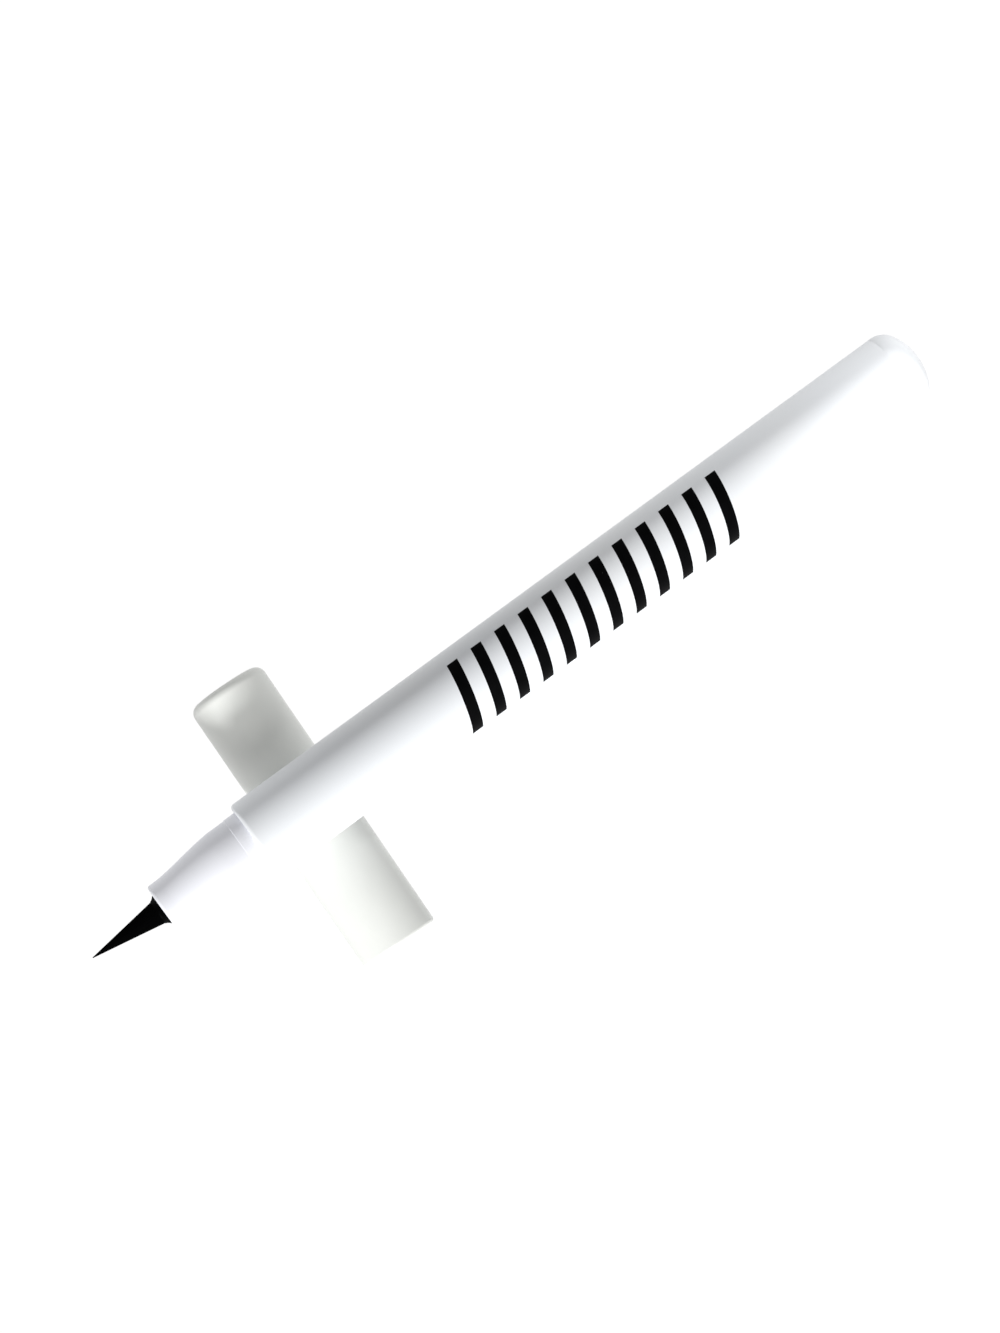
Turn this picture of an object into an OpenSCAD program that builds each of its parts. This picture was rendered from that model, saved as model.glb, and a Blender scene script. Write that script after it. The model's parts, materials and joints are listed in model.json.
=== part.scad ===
// Liquid eyeliner pen, laid uncapped across its own cap.
// The pen points along +X and rises a little towards its nib, with its tail on the surface.
// The cap lies across and under the barrel, with its open mouth towards +Y.
// The origin is on the surface, under the centre of the whole thing's box.
//
// Pen pieces are drawn upright, with z = 0 at the barrel's front rim and the nib up.
// Cap pieces are drawn upright too, with z = 0 at the mouth and the closed end up, so that
// a height in the cap is the same height on the neck when the cap is on.

/* [Barrel] */
// Outside diameter of the barrel and of the cap
barrel_d = 10.5; // [9.8:0.1:12.5]
// Length of the barrel, from its front rim to the start of the domed end
barrel_len = 97.8; // [85:0.1:120]
// Wall of the barrel, which holds the ink itself
barrel_wall = 0.75; // [0.65:0.05:0.85]
// Rounding of the barrel's front rim
rim_round = 0.5; // [0.2:0.05:0.6]

/* [Tail plug] */
// Radius of the rounding round the edge of the domed end
dome_round = 2.6; // [1.6:0.1:3.4]
// Radius of the crown of the domed end
crown_r = 7.8; // [7.4:0.1:14]
// Straight rim of the plug, between the seam and the dome
plug_rim = 0.5; // [0.3:0.1:2]
// Length of the plug's spigot in the barrel
plug_len = 5.5; // [4:0.1:9]
// Wall of the hollow plug
plug_wall = 1; // [0.8:0.05:1.4]

/* [Neck] */
// Length of the neck in front of the barrel
neck_len = 13.8; // [12.5:0.1:17]
// Length of the land at the neck's root, which the cap grips
land_len = 1.6; // [1:0.1:2.6]
// Step down in radius in front of that land
land_step = 0.07; // [0.03:0.01:0.15]
// Length of the neck before its taper, with the land
straight_len = 4.2; // [3.4:0.1:5]
// Length of the straight nose in front of the taper
nose_len = 1.5; // [1:0.1:2]
// Diameter of the nose
nose_d = 6.56; // [6:0.02:7]
// Rounding of the nose's edge
nose_round = 0.4; // [0.1:0.05:0.5]
// Length of the neck's spigot in the barrel
spigot_len = 10; // [8:0.1:14]
// Wall of that spigot
spigot_wall = 0.85; // [0.75:0.05:1]

/* [Nib] */
// Length of the nib in front of its sleeve
nib_len = 9.5; // [8:0.05:11]
// Diameter of the nib where it leaves its sleeve
nib_d = 3.08; // [2.8:0.02:3.5]
// Radius of the nib's point
nib_point = 0.06; // [0.05:0.01:0.2]
// Angle by which the soft nib leans, in degrees
nib_lean = 1.5; // [0:0.1:2.5]
// Step in radius from the nib to its shank
shank_step = 0.16; // [0.05:0.01:0.3]
// Length of the shank in the sleeve
shank_len = 7; // [5:0.1:8]
// Outside diameter of the sleeve
sleeve_d = 4.1; // [3.9:0.05:4.5]
// Length of the sleeve's flared end, which stands out of the neck
sleeve_out = 0.7; // [0.4:0.05:1.2]
// Thickness of the sleeve's lip round the nib
lip_t = 0.07; // [0.05:0.01:0.12]
// Depth of the sleeve in the neck, down to its flange
sleeve_in = 7.4; // [6:0.1:8.4]
// Thickness of the sleeve's flange
flange_t = 1.2; // [0.8:0.1:1.6]
// Rim that the flange stands out by, all round
flange_rim = 0.55; // [0.4:0.05:0.7]
// Air flutes along the sleeve
flutes = 3; // [2:1:6]
// Width of one air flute
flute_w = 0.4; // [0.2:0.05:0.6]
// Depth of one air flute
flute_depth = 0.18; // [0.1:0.02:0.2]

/* [Ink collector] */
// Length of the stack of fins behind the neck's spigot
rear_stack = 15.5; // [10:0.5:22]
// Pitch of the fins
fin_pitch = 0.8; // [0.7:0.05:1.2]
// Thickness of one fin
fin_t = 0.4; // [0.25:0.05:0.5]
// Diameter of the core that carries the fins
core_d = 3.8; // [3.4:0.1:4.4]
// Air space round the fins
fin_space = 0.15; // [0.1:0.01:0.3]
// Width of the fine slot that draws the ink
ink_slot = 0.2; // [0.12:0.02:0.3]
// Width of the air channel on the other side
air_slot = 1.6; // [1:0.1:2.2]
// Thickness of the shoulder disc that the neck clamps
shoulder_t = 1; // [0.6:0.1:1.6]
// Length of the plug that closes the ink tank
seal_len = 4; // [3:0.1:6]
// Length of the snout in the tank
snout_len = 3.5; // [2.5:0.1:5]
// Diameter of the snout
snout_d = 4.4; // [4:0.1:5]
// Width of the two crossed inlets in the snout
inlet_w = 1; // [0.6:0.1:1.4]
// Diameter of the feed wick
wick_d = 1.8; // [1.4:0.05:2]
// Length of wick behind the snout
wick_out = 2.5; // [1:0.1:5]
// Diameter of the mixing ball
ball_d = 4; // [3:0.1:4.6]

/* [Cap] */
// Length of the cap
cap_len = 38.7; // [37.5:0.1:46]
// Wall of the cap at its mouth, which leaves the neck that much narrower than the barrel
cap_wall = 0.89; // [0.8:0.01:1]
// Rounding of the cap's closed end
cap_end_round = 1.3; // [1.2:0.1:2.8]
// Rounding of the cap's mouth
cap_rim_round = 0.5; // [0.2:0.05:0.6]
// Thickness of the closed end
cap_end_wall = 1.2; // [0.9:0.1:1.8]
// Lead-in chamfer of the mouth's bore
mouth_lead = 0.1; // [0.05:0.01:0.15]
// Step in radius at the back of the mouth's bore
bore_step = 0.2; // [0.17:0.01:0.25]
// Length of the ring that holds the inner cap in
retainer_len = 2; // [1.4:0.1:2.6]
// Length of the soft gasket in the inner cap's mouth
gasket_len = 2; // [1.2:0.1:2.4]
// Thickness of the gasket behind its seal
gasket_t = 0.3; // [0.2:0.02:0.36]
// Wall of the inner cap
inner_wall = 0.5; // [0.4:0.02:0.6]
// Thickness of the inner cap's closed end
inner_end = 0.8; // [0.6:0.1:1.2]
// Space in front of the nib's point when the cap is on
nib_space = 0.6; // [0.3:0.1:1.2]
// How far the neck pushes the inner cap in when the cap is on
seal_push = 1.2; // [0.6:0.1:1.6]
// Whole travel of the inner cap
stroke = 2; // [1.6:0.1:3]
// Height of the boss that centres the spring in the closed end
boss_t = 1; // [0.6:0.1:1.6]
// Outside diameter of the spring
spring_d = 5.5; // [4.8:0.1:5.8]
// Diameter of the spring's wire
wire_d = 0.35; // [0.25:0.01:0.4]
// Turns of the spring
turns = 9; // [6:1:10]
// Thickness of the ribs of the spring's guide
rib_t = 0.8; // [0.5:0.1:1.2]

/* [As it lies] */
// Distance behind the barrel's rim at which the pen rests on the cap
cross_back = 7.8; // [6:0.1:30]
// Distance from there to the cap's mouth
mouth_reach = 20.5; // [12:0.1:28]
// Angle that the cap is turned away from square, in degrees
cap_skew = 1.9; // [0:0.1:3]
// Gap between the barrel and the cap it rests on
lay_gap = 0.1; // [0.05:0.05:0.3]

/* [Fits and seals] */
// Radial gap of a pressed fit
press_gap = 0.02; // [0.01:0.01:0.04]
// Radial gap of a sliding fit
slide_gap = 0.08; // [0.04:0.01:0.1]
// Radial gap between the cap's mouth and the neck's land
seat_gap = 0.04; // [0.02:0.01:0.08]
// Space between the neck and what passes over it inside the cap
neck_space = 0.15; // [0.1:0.01:0.2]
// Diameter of the cord of the seal rings
ring_d = 0.5; // [0.4:0.02:0.54]

/* [Hidden] */
$fn = 96;

// How far a cut runs past the face that it opens
overrun = 1;
// Straight steps in a quarter round, in the neck's taper and in the sleeve's flare
round_steps = 10;
taper_steps = 10;
flare_steps = 5;

// Radii that follow from the barrel
barrel_r = barrel_d / 2;
bore_r = barrel_r - barrel_wall;
spigot_r = bore_r - press_gap;
cap_bore_r = barrel_r - cap_wall;
land_r = cap_bore_r - seat_gap;
neck_r = land_r - land_step;
nose_r = nose_d / 2;
chamber_r = spigot_r - spigot_wall;

// Seal rings fill the space between the barrel's bore and the bottom of their grooves
groove_r = bore_r - ring_d - 2 * press_gap;
groove_w = ring_d * 1.3;

// Heights along the pen
seam_z = plug_rim - barrel_len;
plug_front_z = seam_z + plug_len;
taper_end_z = neck_len - nose_len;
sleeve_seat_z = neck_len - sleeve_in;
flange_z = sleeve_seat_z - flange_t;
sleeve_tip_z = neck_len + sleeve_out;
point_z = sleeve_tip_z + nib_len;
shank_z = sleeve_tip_z - shank_len;
chamber_lead = chamber_r - core_d / 2 - flange_rim;
chamber_z = flange_z - chamber_lead;

// The domed end is a crown sphere, with a rounding that meets it and the barrel smoothly
crown_back = sqrt(pow(crown_r - dome_round, 2) - pow(barrel_r - dome_round, 2));
crown_z = crown_back - barrel_len;
crown_angle = atan2(barrel_r - dome_round, crown_back);
hollow_r = spigot_r - plug_wall;
hollow_crown_r = crown_r - plug_wall;
hollow_angle = asin(hollow_r / hollow_crown_r);

// Nib and sleeve
nib_r = nib_d / 2;
shank_r = nib_r - shank_step;
sleeve_bore_r = shank_r + press_gap;
sleeve_r = sleeve_d / 2;
lip_r = nib_r + lip_t;
flange_r = sleeve_r + flange_rim;
lean_rise = nib_r * sin(nib_lean) + press_gap;

// Ink collector, from its snout in the tank to its tube at the sleeve
fin_front_r = chamber_r - fin_space;
fin_rear_r = bore_r - fin_space;
fin_gap = fin_pitch - fin_t;
core_r = core_d / 2;
wick_r = wick_d / 2;
wick_bore_r = wick_r + press_gap;
clamp_z = -spigot_len;
shoulder_z = clamp_z - shoulder_t;
seal_front_z = shoulder_z - rear_stack;
seal_rear_z = seal_front_z - seal_len;
snout_z = seal_rear_z - snout_len;
wick_z = snout_z - wick_out;
stack_front_z = chamber_z - fin_gap;

// The ball lies on the tank's floor, and rolls from the tail plug to the wick
ball_r = ball_d / 2;
ball_side = bore_r - ball_r - slide_gap;
ball_z = plug_front_z + ball_r + slide_gap;

// Heights in the cap. The gasket meets the end of the neck's taper when the cap is on.
deep_r = cap_bore_r - bore_step;
sealed_z = taper_end_z - gasket_len / 2;
inner_z = sealed_z - seal_push;
retainer_z = inner_z - press_gap - retainer_len;
pocket_z = inner_z + gasket_len + press_gap;
inner_flange_z = pocket_z + inner_wall;
inner_floor_z = point_z + nib_space - seal_push;
inner_top_z = inner_floor_z + inner_end;
cap_floor_z = cap_len - cap_end_wall;
boss_z = cap_floor_z - boss_t;
guide_z = boss_z - stroke;
inner_bore_r = nose_r + neck_space;
inner_r = inner_bore_r + inner_wall;
gasket_r = inner_bore_r + gasket_t;
guide_r = spring_d / 2 - wire_d - neck_space;
cap_floor_round = cap_end_round - cap_wall;

// The spring fills the space behind the inner cap. Its turns lie closer at the two ends.
spring_seat = wire_d / 2 + slide_gap;
spring_len = cap_floor_z - inner_top_z - 2 * spring_seat;
curl_rings = 8;
wire_sides = 6;
end_crowding_share = 0.33;

// How the pen lies: its domed end touches the surface, and its barrel rests on the cap
rest_span = barrel_len - cross_back;
rest_rise = dome_round + barrel_r + lay_gap;
tilt = atan2(rest_rise, rest_span) + asin((barrel_r - dome_round) / norm([rest_span, rest_rise]));
rim_x = barrel_len * cos(tilt) - (barrel_r - dome_round) * sin(tilt);
rim_height = dome_round + (barrel_r - dome_round) * cos(tilt) + barrel_len * sin(tilt);
cross_x = rest_span * cos(tilt) + rest_rise * sin(tilt);

// The box's ends, measured from where the tail touches down and from the crossing
tail_x = rim_x + crown_z * cos(tilt) - crown_r;
point_x = rim_x + (point_z - nib_point) * cos(tilt) + nib_point;
mid_x = (tail_x + point_x) / 2;
mid_y = (end_reach(mouth_reach, cap_rim_round) - end_reach(cap_len - mouth_reach, cap_end_round)) / 2;

// How far a rounded end of the cap reaches along Y, with the cap turned
function end_reach(far, edge) =
    (far - edge) * cos(cap_skew) + (barrel_r - edge) * sin(cap_skew) + edge;

// Points of an arc round a centre, between two angles
function arc(centre, r, from, to) =
    [for (i = [0 : round_steps])
        let (a = from + (to - from) * i / round_steps)
        centre + r * [cos(a), sin(a)]];

// A curve from 0 to 1 that starts and ends gently, half as strongly as a full S
function ease(t) = (t + t * t * (3 - 2 * t)) / 2;

// Outside radius of the neck at a height
function neck_r_at(z) =
    z <= straight_len ? neck_r
    : z >= taper_end_z ? nose_r
    : neck_r + (nose_r - neck_r) * ease((z - straight_len) / (taper_end_z - straight_len));

// Outline of a stack of fins on the core, evenly spread between two heights
function fins(from, to, r) =
    let (count = floor((to - from - fin_gap) / fin_pitch),
        pitch = (to - from - fin_gap) / count)
    [for (i = [1 : count])
        let (top = from + i * pitch)
        each [[core_r, top - fin_t], [r, top - fin_t], [r, top], [core_r, top]]];

// Where the spring's wire runs, as a share of its length
function spring_point(s) =
    let (a = 360 * turns * s,
        r = (spring_d - wire_d) / 2,
        rise = s - end_crowding_share * sin(360 * s) / (2 * PI))
    [r * cos(a), r * sin(a), inner_top_z + spring_seat + spring_len * rise];

module in_pen() {
    translate([rim_x - mid_x, -mid_y, rim_height])
        rotate([0, 90 - tilt, 0])
            children();
}

module in_cap() {
    translate([cross_x - mid_x + mouth_reach * sin(cap_skew),
            mouth_reach * cos(cap_skew) - mid_y, barrel_r])
        rotate([90, 0, -cap_skew])
            children();
}

module turned(outline) {
    rotate_extrude()
        polygon(outline);
}

module seal_groove(z) {
    translate([0, 0, z - groove_w / 2])
        difference() {
            cylinder(h = groove_w, r = bore_r + overrun);
            translate([0, 0, -overrun])
                cylinder(h = groove_w + 2 * overrun, r = groove_r);
        }
}

module seal_ring(z) {
    color("dimgray")
        in_pen()
            translate([0, 0, z])
                rotate_extrude()
                    translate([(groove_r + bore_r) / 2, 0])
                        circle(d = ring_d);
}

module barrel() {
    color("whitesmoke")
        in_pen()
            turned(concat(
                [[bore_r, 0], [bore_r, seam_z], [barrel_r, seam_z]],
                arc([barrel_r - rim_round, -rim_round], rim_round, 0, 90)));
}

// Pressed into the barrel from behind. It is hollow, so that its wall is even.
module tail_plug() {
    color("whitesmoke")
        in_pen()
            difference() {
                turned(concat(
                    [[0, crown_z - crown_r]],
                    arc([0, crown_z], crown_r, -90, crown_angle - 90),
                    arc([barrel_r - dome_round, -barrel_len], dome_round, crown_angle - 90, 0),
                    [[barrel_r, seam_z], [spigot_r, seam_z], [spigot_r, plug_front_z],
                        [hollow_r, plug_front_z]],
                    arc([0, crown_z], hollow_crown_r, hollow_angle - 90, -90)));
                seal_groove(seam_z + plug_len / 2);
            }
}

module tail_seal_ring() {
    seal_ring(seam_z + plug_len / 2);
}

// The front section. Its spigot is pressed into the barrel, and it holds the sleeve and the nib.
module neck() {
    color("whitesmoke")
        in_pen()
            difference() {
                turned(concat(
                    [[chamber_r, clamp_z], [spigot_r, clamp_z], [spigot_r, 0], [land_r, 0],
                        [land_r, land_len], [neck_r, land_len + land_step]],
                    [for (i = [0 : taper_steps])
                        let (z = straight_len + (taper_end_z - straight_len) * i / taper_steps)
                        [neck_r_at(z), z]],
                    arc([nose_r - nose_round, neck_len - nose_round], nose_round, 0, 90),
                    [[sleeve_r + press_gap, neck_len], [sleeve_r + press_gap, sleeve_seat_z],
                        [flange_r + press_gap, sleeve_seat_z], [flange_r + press_gap, flange_z],
                        [chamber_r, chamber_z]]));
                seal_groove(clamp_z / 2);
            }
}

module neck_seal_ring() {
    seal_ring(clamp_z / 2);
}

// Holds the nib in the neck's nose. Its flange stops it from being pulled out forwards,
// and its flutes let air back into the collector.
module nib_sleeve() {
    color("black")
        in_pen()
            difference() {
                turned(concat(
                    [[sleeve_bore_r, sleeve_tip_z], [sleeve_bore_r, flange_z],
                        [flange_r, flange_z], [flange_r, sleeve_seat_z],
                        [sleeve_r, sleeve_seat_z]],
                    [for (i = [0 : flare_steps])
                        let (s = i / flare_steps)
                        [lip_r + (sleeve_r - lip_r) * pow(1 - s, 2), neck_len + sleeve_out * s]]));
                for (i = [1 : flutes])
                    rotate([0, 0, 360 * i / flutes])
                        translate([sleeve_r - flute_depth, -flute_w / 2, flange_z - overrun])
                            cube([flange_rim + flute_depth + overrun, flute_w,
                                neck_len - flange_z + overrun]);
            }
}

// A bundle of fine fibres, ground to a point. It is soft, and has taken a slight lean.
module nib() {
    color("black")
        in_pen() {
            translate([0, 0, shank_z])
                cylinder(h = shank_len + lean_rise, r = shank_r);
            translate([0, 0, sleeve_tip_z])
                cylinder(h = 2 * lean_rise, r = nib_r);
            translate([0, 0, sleeve_tip_z + lean_rise])
                rotate([nib_lean, 0, 0]) {
                    cylinder(h = nib_len - lean_rise - nib_point, r1 = nib_r, r2 = nib_point);
                    translate([0, 0, nib_len - lean_rise - nib_point])
                        sphere(r = nib_point);
                }
        }
}

// The comb that keeps the flow even. Ink that the warmed tank pushes out is held between its
// fins. A fine slot draws that ink along, and a channel on the other side lets air past.
module collector() {
    color("gainsboro")
        in_pen()
            difference() {
                turned(concat(
                    [[wick_bore_r, flange_z], [wick_bore_r, snout_z], [snout_d / 2, snout_z],
                        [snout_d / 2, seal_rear_z], [spigot_r, seal_rear_z],
                        [spigot_r, seal_front_z], [core_r, seal_front_z]],
                    fins(seal_front_z, shoulder_z, fin_rear_r),
                    [[core_r, shoulder_z], [fin_rear_r, shoulder_z], [fin_rear_r, clamp_z],
                        [core_r, clamp_z]],
                    fins(clamp_z, stack_front_z, fin_front_r),
                    [[core_r, flange_z]]));
                seal_groove((seal_front_z + seal_rear_z) / 2);
                translate([0, -ink_slot / 2, seal_front_z])
                    cube([bore_r, ink_slot, stack_front_z - seal_front_z]);
                translate([0, -ink_slot / 2, snout_z - overrun])
                    cube([core_r, ink_slot, seal_front_z - snout_z + 2 * overrun]);
                translate([-bore_r, -air_slot / 2, seal_front_z + fin_gap])
                    cube([bore_r - core_r, air_slot, stack_front_z - seal_front_z]);
                for (a = [0, 90])
                    rotate([0, 0, a])
                        translate([-snout_d, -inlet_w / 2, snout_z - overrun])
                            cube([2 * snout_d, inlet_w, snout_len / 2 + overrun]);
            }
}

module collector_seal_ring() {
    seal_ring((seal_front_z + seal_rear_z) / 2);
}

// Draws ink from the tank, through the collector, to the back of the nib
module feed_wick() {
    color("lightgray")
        in_pen()
            translate([0, 0, wick_z])
                cylinder(h = shank_z - wick_z, r = wick_r);
}

module mixing_ball() {
    color("silver")
        in_pen()
            translate([ball_side, 0, ball_z])
                sphere(r = ball_r);
}

module cap_shell() {
    color("ivory")
        in_cap()
            turned(concat(
                [[cap_bore_r, retainer_z], [cap_bore_r, mouth_lead], [cap_bore_r + mouth_lead, 0]],
                arc([barrel_r - cap_rim_round, cap_rim_round], cap_rim_round, -90, 0),
                arc([barrel_r - cap_end_round, cap_len - cap_end_round], cap_end_round, 0, 90),
                [[0, cap_len], [0, boss_z], [guide_r, boss_z], [guide_r, cap_floor_z]],
                arc([deep_r - cap_floor_round, cap_floor_z - cap_floor_round], cap_floor_round, 90, 0),
                [[deep_r, retainer_z]]));
}

// Pressed into the cap against the end of the mouth's bore. It clears the neck's taper.
module inner_cap_retainer() {
    color("gainsboro")
        in_cap()
            turned([[deep_r - press_gap, retainer_z],
                [deep_r - press_gap, retainer_z + retainer_len],
                [neck_r_at(retainer_z + retainer_len) + neck_space, retainer_z + retainer_len],
                [neck_r_at(retainer_z) + neck_space, retainer_z]]);
}

// The small sprung cap that closes on the neck round the nib and keeps the ink from drying
module inner_cap() {
    color("gainsboro")
        in_cap() {
            turned([[gasket_r + press_gap, inner_z], [deep_r - slide_gap, inner_z],
                [deep_r - slide_gap, inner_flange_z], [inner_r, inner_flange_z],
                [inner_r, inner_top_z - inner_wall], [inner_r - inner_wall, inner_top_z],
                [0, inner_top_z], [0, inner_floor_z], [inner_bore_r, inner_floor_z],
                [inner_bore_r, pocket_z], [gasket_r + press_gap, pocket_z]]);
            intersection() {
                translate([0, 0, inner_floor_z + inner_end / 2])
                    cylinder(h = guide_z - inner_floor_z - inner_end / 2, r = guide_r);
                for (a = [0, 90])
                    rotate([0, 0, a])
                        translate([-guide_r, -rib_t / 2, inner_floor_z])
                            cube([2 * guide_r, rib_t, guide_z - inner_floor_z]);
            }
        }
}

// Its bore has the slope of the neck where the two meet with the cap on
module inner_cap_gasket() {
    color("darkgray")
        in_cap()
            turned([[gasket_r, inner_z], [gasket_r, inner_z + gasket_len],
                [neck_r_at(sealed_z + gasket_len) + press_gap, inner_z + gasket_len],
                [neck_r_at(sealed_z) + press_gap, inner_z]]);
}

module cap_spring() {
    color("silver")
        in_cap()
            wound_wire([for (i = [0 : turns * curl_rings]) spring_point(i / (turns * curl_rings))]);
}

// One unbroken wire round a line that winds about the upright axis
module wound_wire(line) {
    last = len(line) - 1;
    rings = [for (i = [0 : last])
        let (along = line[min(i + 1, last)] - line[max(i - 1, 0)],
            out = [line[i].x, line[i].y, 0] / norm([line[i].x, line[i].y]),
            side = cross(along, out) / norm(cross(along, out)),
            up = cross(side, along) / norm(along))
        each [for (k = [0 : wire_sides - 1])
            let (a = 360 * k / wire_sides)
            line[i] + (up * cos(a) + side * sin(a)) * wire_d / 2]];
    walls = [for (i = [0 : last - 1], k = [0 : wire_sides - 1])
        let (a = i * wire_sides + k,
            b = i * wire_sides + (k + 1) % wire_sides)
        each [[a, b, b + wire_sides], [a, b + wire_sides, a + wire_sides]]];
    ends = [for (k = [1 : wire_sides - 2])
        each [[0, k + 1, k], last * wire_sides * [1, 1, 1] + [0, k, k + 1]]];
    polyhedron(points = rings, faces = concat(walls, ends));
    gaps = [for (i = [0 : last], j = [i + curl_rings / 2 : 1 : last]) norm(line[j] - line[i])];
    echo(least_gap_in_the_spring = min(gaps) - wire_d);
}

barrel();
tail_plug();
tail_seal_ring();
neck();
neck_seal_ring();
nib_sleeve();
nib();
collector();
collector_seal_ring();
feed_wick();
mixing_ball();
cap_shell();
inner_cap_retainer();
inner_cap();
inner_cap_gasket();
cap_spring();
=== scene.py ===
"""Liquid eyeliner pen, laid uncapped across its own cap: its looks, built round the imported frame.

Every piece is modelled upright, on the axis that it is turned about, and is then laid where the
frame has it. Heights on the pen are measured from the barrel's front rim towards the nib, and
heights in the cap from its mouth towards its closed end.
"""

import json
import math

import bmesh
import bpy
from bpy.props import FloatProperty, FloatVectorProperty, IntProperty, PointerProperty
from mathutils import Matrix, Vector

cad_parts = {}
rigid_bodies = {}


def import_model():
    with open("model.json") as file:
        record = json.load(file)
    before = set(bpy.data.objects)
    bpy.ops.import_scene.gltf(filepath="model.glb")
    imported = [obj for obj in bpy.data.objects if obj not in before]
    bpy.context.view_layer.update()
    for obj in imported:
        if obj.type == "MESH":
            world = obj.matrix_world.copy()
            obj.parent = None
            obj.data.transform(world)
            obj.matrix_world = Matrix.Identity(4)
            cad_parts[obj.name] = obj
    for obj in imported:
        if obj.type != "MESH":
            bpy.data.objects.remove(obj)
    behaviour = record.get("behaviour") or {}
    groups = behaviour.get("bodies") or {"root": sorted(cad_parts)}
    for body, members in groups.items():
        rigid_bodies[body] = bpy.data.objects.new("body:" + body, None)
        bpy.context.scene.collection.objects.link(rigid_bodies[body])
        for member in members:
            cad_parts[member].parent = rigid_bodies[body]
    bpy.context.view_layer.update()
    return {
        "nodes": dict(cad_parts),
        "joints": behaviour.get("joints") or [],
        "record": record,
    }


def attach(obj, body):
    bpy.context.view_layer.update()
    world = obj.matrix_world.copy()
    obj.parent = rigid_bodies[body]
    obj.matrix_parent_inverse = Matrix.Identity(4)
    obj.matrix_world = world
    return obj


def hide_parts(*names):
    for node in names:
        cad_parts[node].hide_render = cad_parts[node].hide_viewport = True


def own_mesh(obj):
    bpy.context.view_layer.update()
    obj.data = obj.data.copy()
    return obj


bl_info = {
    "name": "Liquid eyeliner pen",
    "version": (1, 0, 0),
    "blender": (4, 5, 0),
    "location": "3D View > Sidebar > Eyeliner",
    "description": "Models and finishes a liquid eyeliner pen and its cap round a packed frame",
    "category": "Object",
}

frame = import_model()
MOUNTS = {mount["name"]: mount for mount in frame["record"]["mounts"]}

MM = 0.001
UP = Vector((0, 0, 1))

# How finely the pieces are divided
SIDES = 144
CORNER_STEPS = 8
DOME_STEPS = 14
EDGE_STEPS = 2
NIB_SIDES = 120
NIB_STEPS = 28
POINT_STEPS = 6
BAR_SIDES = 360
CAP_END_STEPS = 16
CAP_FLOOR_STEPS = 10
BOSS_STEPS = 3
WIRE_SIDES = 12
WIRE_STEPS = 40
FLOOR_STEPS = 12
SMOOTH_ANGLE = math.radians(32)

# How near two points or rings lie when they count as one
WELD = 1e-7
NEAR = 2e-6

# The sleeve's air flutes, and how strongly its flare is drawn in
FLUTES = 3
FLARE = 1.6
# Grooves between the nib's fibres: on every so many columns, and their share of the full depth
GROOVES = ((3, 1.0), (5, 0.7), (7, 0.5))
# Length of the tube that a printed bar is cut from, in radii of the barrel
BAR_STOCK = 4

# The way to the key light, the small lights' places from what they light, and the camera
KEY_WAY = Vector((0.397, 0.703, 0.590))
TAIL_LIGHT = Vector((-20, -5, 34)) * MM
NIB_LIGHT = Vector((14, -36, 20)) * MM
CAP_LIGHT = Vector((-4, 40, 123)) * MM
CAMERA_PLACE = Vector((-6.917, 15.618, 459.259)) * MM
CAMERA_TURN = [math.radians(a) for a in (1.01315, 2.15924, 143.5881)]
CAMERA_CLIP = (0.01, 20)
SENSOR = 36

# Sockets of a Mix node that mixes colours
MIX_AMOUNT, MIX_BASE, MIX_OTHER, MIX_RESULT = 0, 6, 7, 2


# Frames and measures

def standing(origin, along, side):
    """The matrix that lays an upright piece down: +Z goes along its axis, and +Y to one side."""
    z = Vector(along).normalized()
    x = Vector(side).cross(z).normalized()
    y = z.cross(x)
    rows = Matrix((x, y, z)).transposed().to_4x4()
    rows.translation = Vector(origin)
    return rows


def measure(node, stand):
    """Largest radius, lowest height and highest height of a CAD node, about its own axis."""
    inverse = stand.inverted()
    points = [inverse @ v.co for v in frame["nodes"][node].data.vertices]
    heights = [p.z for p in points]
    return max(math.hypot(p.x, p.y) for p in points), min(heights), max(heights)


def pen_stand():
    """The pen's own axis, with the barrel's front rim at height 0."""
    seat = MOUNTS["cap_seat"]
    along = Vector(seat["axis"])
    rim = Vector(seat["pos_m"]) - along * seat["dims"]["length_mm"] * MM / 2
    return standing(rim, along, (0, 1, 0))


def cap_stand():
    """The cap's own axis, with its mouth at height 0."""
    end = MOUNTS["cap_end"]
    along = Vector(end["axis"])
    laid = standing(end["pos_m"], along, UP)
    length = -measure("cap_shell", laid)[1]
    return standing(Vector(end["pos_m"]) - along * length, along, UP)


PEN = pen_stand()
CAP = cap_stand()
BARREL_R, SEAM_Z, RIM_Z = measure("barrel", PEN)
TAIL_Z, PLUG_Z = measure("tail_plug", PEN)[1:]
SPIGOT_Z, NECK_Z = measure("neck", PEN)[1:]
FLANGE_R, FLANGE_Z, SLEEVE_Z = measure("nib_sleeve", PEN)
SHANK_Z, POINT_Z = measure("nib", PEN)[1:]
CAP_R, MOUTH_Z, CAP_Z = measure("cap_shell", CAP)
COIL_R, COIL_Z, COIL_END_Z = measure("cap_spring", CAP)
LAND_R = MOUNTS["cap_seat"]["dims"]["r_mm"] * MM
STRAIGHT_Z = MOUNTS["cap_seat"]["dims"]["length_mm"] * MM
MOUTH_R = MOUNTS["cap_mouth"]["dims"]["r_mm"] * MM
MOUTH_DEPTH = MOUNTS["cap_mouth"]["dims"]["length_mm"] * MM
STROKE = next(j["range_m"][1] for j in frame["joints"] if j["name"] == "inner_cap_slide")

# The finished outsides lie a hair inside the frame's, so that they stay within its box
HAIR = 0.01 * MM
BARREL_R -= HAIR
TAIL_Z += HAIR
POINT_Z -= HAIR
CAP_R -= HAIR
MOUTH_Z += HAIR
CAP_Z -= HAIR


# What a user would change

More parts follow.
